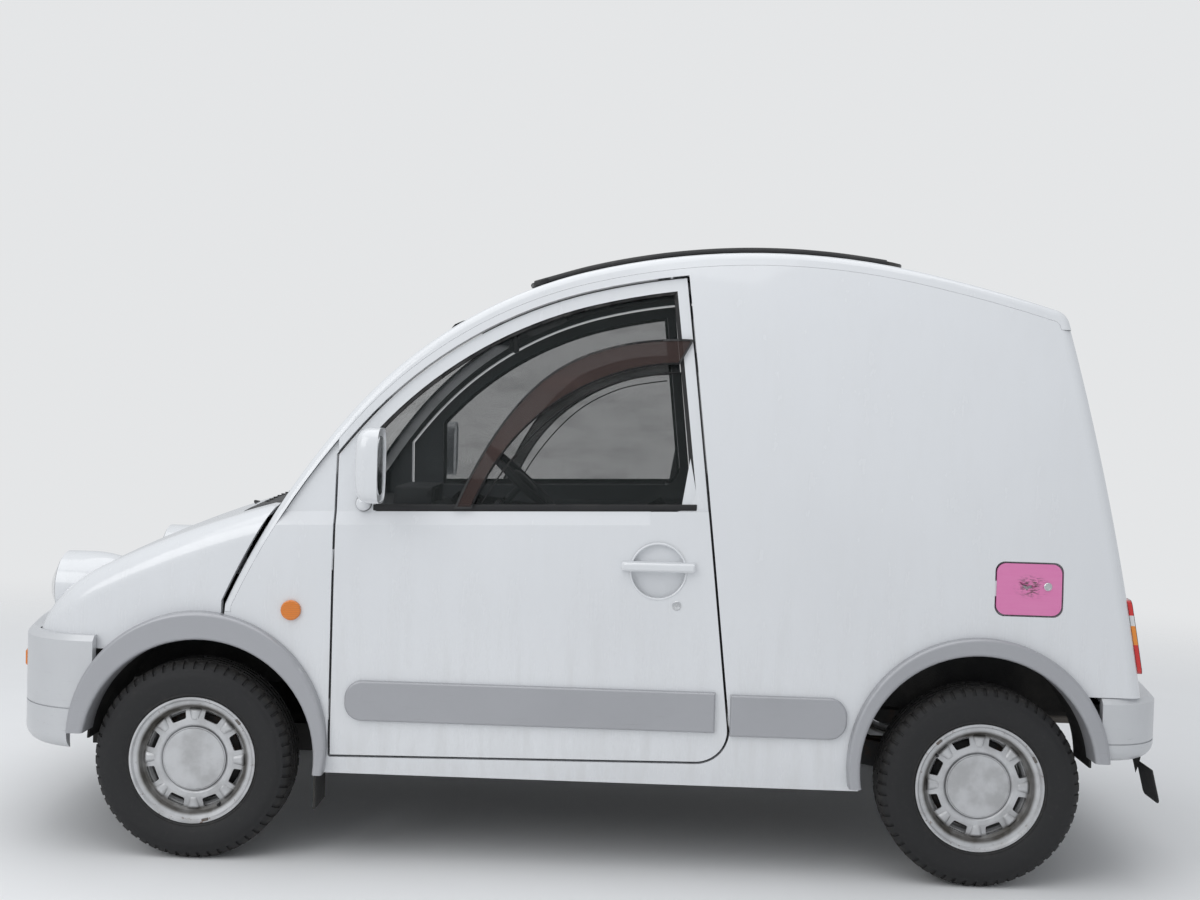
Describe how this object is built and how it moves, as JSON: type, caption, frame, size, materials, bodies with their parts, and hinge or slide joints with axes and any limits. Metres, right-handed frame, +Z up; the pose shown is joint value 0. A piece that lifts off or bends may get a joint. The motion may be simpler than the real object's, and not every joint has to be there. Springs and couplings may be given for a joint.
{
  "type": "small panel van",
  "caption": "Small one-box panel van with a snail-shaped roof arch, frog-eye headlamps, canvas top, opening doors and tailgate, and steered front wheels.",
  "frame": {"origin": "on the ground under the middle of the overall length", "axes": "+X to the rear, -Y is the left side, +Z up"},
  "size_m": [3.48, 1.846, 1.8505],
  "materials": {
    "body_paint": "pearl gloss",
    "silver_plastic": "satin",
    "black_plastic": "satin",
    "canvas": "woven",
    "glass": "clear",
    "visor": "smoked",
    "lamp_glass": "clear",
    "orange_lens": "gloss",
    "red_lens": "gloss",
    "pink_paint": "faded",
    "rim_steel": "worn",
    "tyre": "rubber",
    "frame_steel": "matt",
    "engine_iron": "cast",
    "trim_grey": "grained",
    "seat_fabric": "woven",
    "hub_steel": "machined"
  },
  "bodies": {
    "body": {"side_panel_left": "body_paint", "side_panel_right": "body_paint", "roof_frame": "body_paint", "canvas_roof": "canvas", "windscreen": "glass", "fender_left": "body_paint", "fender_right": "body_paint", "grille_panel": "body_paint", "headlamps": "lamp_glass", "cowl_bulkhead": "black_plastic", "front_bumper": "silver_plastic", "rear_bumper": "silver_plastic", "side_mouldings": "silver_plastic", "wheel_liners": "black_plastic", "floor_pan": "frame_steel", "tail_lamps": "red_lens", "side_repeaters": "orange_lens", "dashboard": "trim_grey", "seats": "seat_fabric", "engine_block": "engine_iron", "front_suspension": "frame_steel", "rear_axle": "frame_steel", "exhaust_and_tank": "frame_steel"},
    "door_left": {"door_left": "body_paint", "door_glass_left": "glass", "visor_left": "visor", "door_strip_left": "silver_plastic", "mirror_left": "body_paint"},
    "knuckle_left": {"knuckle_left": "hub_steel"},
    "door_right": {"door_right": "body_paint", "door_glass_right": "glass", "visor_right": "visor", "door_strip_right": "silver_plastic", "mirror_right": "body_paint"},
    "knuckle_right": {"knuckle_right": "hub_steel"},
    "hood": {"hood": "body_paint"},
    "tailgate": {"tailgate": "body_paint", "tailgate_glass": "glass"},
    "fuel_flap": {"fuel_flap": "pink_paint"},
    "steering_wheel": {"steering_wheel": "black_plastic"},
    "wheel_front_left": {"rim_front_left": "rim_steel", "tyre_front_left": "tyre"},
    "wheel_front_right": {"rim_front_right": "rim_steel", "tyre_front_right": "tyre"},
    "wheel_rear_left": {"rim_rear_left": "rim_steel", "tyre_rear_left": "tyre"},
    "wheel_rear_right": {"rim_rear_right": "rim_steel", "tyre_rear_right": "tyre"}
  },
  "joints": [
    {"name": "door_left_hinge", "type": "hinge", "parent": "body", "child": "door_left", "pos_m": [-0.697, -0.77, 0.7], "axis": [0, 0, -1], "range_deg": [0, 65]},
    {"name": "door_right_hinge", "type": "hinge", "parent": "body", "child": "door_right", "pos_m": [-0.697, 0.77, 0.7], "axis": [0, 0, 1], "range_deg": [0, 65]},
    {"name": "hood_hinge", "type": "hinge", "parent": "body", "child": "hood", "pos_m": [-0.997, 0, 1.0265], "axis": [0, 1, 0], "range_deg": [0, 50]},
    {"name": "tailgate_hinge", "type": "hinge", "parent": "body", "child": "tailgate", "pos_m": [1.247, 0, 1.724], "axis": [0, -1, 0], "range_deg": [0, 85]},
    {"name": "fuel_flap_hinge", "type": "hinge", "parent": "body", "child": "fuel_flap", "pos_m": [1.181, -0.77, 0.8595], "axis": [0, 0, -1], "range_deg": [0, 90]},
    {"name": "steering_wheel_turn", "type": "hinge", "parent": "body", "child": "steering_wheel", "pos_m": [-0.25, 0.35, 1.06], "axis": [0.6691, 0, 0.7431], "range_deg": [-540, 540]},
    {"name": "steer_left", "type": "hinge", "parent": "body", "child": "knuckle_left", "pos_m": [-1.105, -0.64, 0.286], "axis": [0, 0, 1], "range_deg": [-35, 35]},
    {"name": "steer_right", "type": "hinge", "parent": "body", "child": "knuckle_right", "pos_m": [-1.105, 0.64, 0.286], "axis": [0, 0, 1], "range_deg": [-35, 35]},
    {"name": "wheel_front_left_roll", "type": "hinge", "parent": "knuckle_left", "child": "wheel_front_left", "pos_m": [-1.105, -0.69, 0.286], "axis": [0, 1, 0], "continuous": true},
    {"name": "wheel_front_right_roll", "type": "hinge", "parent": "knuckle_right", "child": "wheel_front_right", "pos_m": [-1.105, 0.69, 0.286], "axis": [0, 1, 0], "continuous": true},
    {"name": "wheel_rear_left_roll", "type": "hinge", "parent": "body", "child": "wheel_rear_left", "pos_m": [1.155, -0.69, 0.286], "axis": [0, 1, 0], "continuous": true},
    {"name": "wheel_rear_right_roll", "type": "hinge", "parent": "body", "child": "wheel_rear_right", "pos_m": [1.155, 0.69, 0.286], "axis": [0, 1, 0], "continuous": true}
  ],
  "couplings": [
    {"joint": "steer_right", "follows": "steer_left", "ratio": 1},
    {"joint": "steering_wheel_turn", "follows": "steer_left", "ratio": 15}
  ]
}
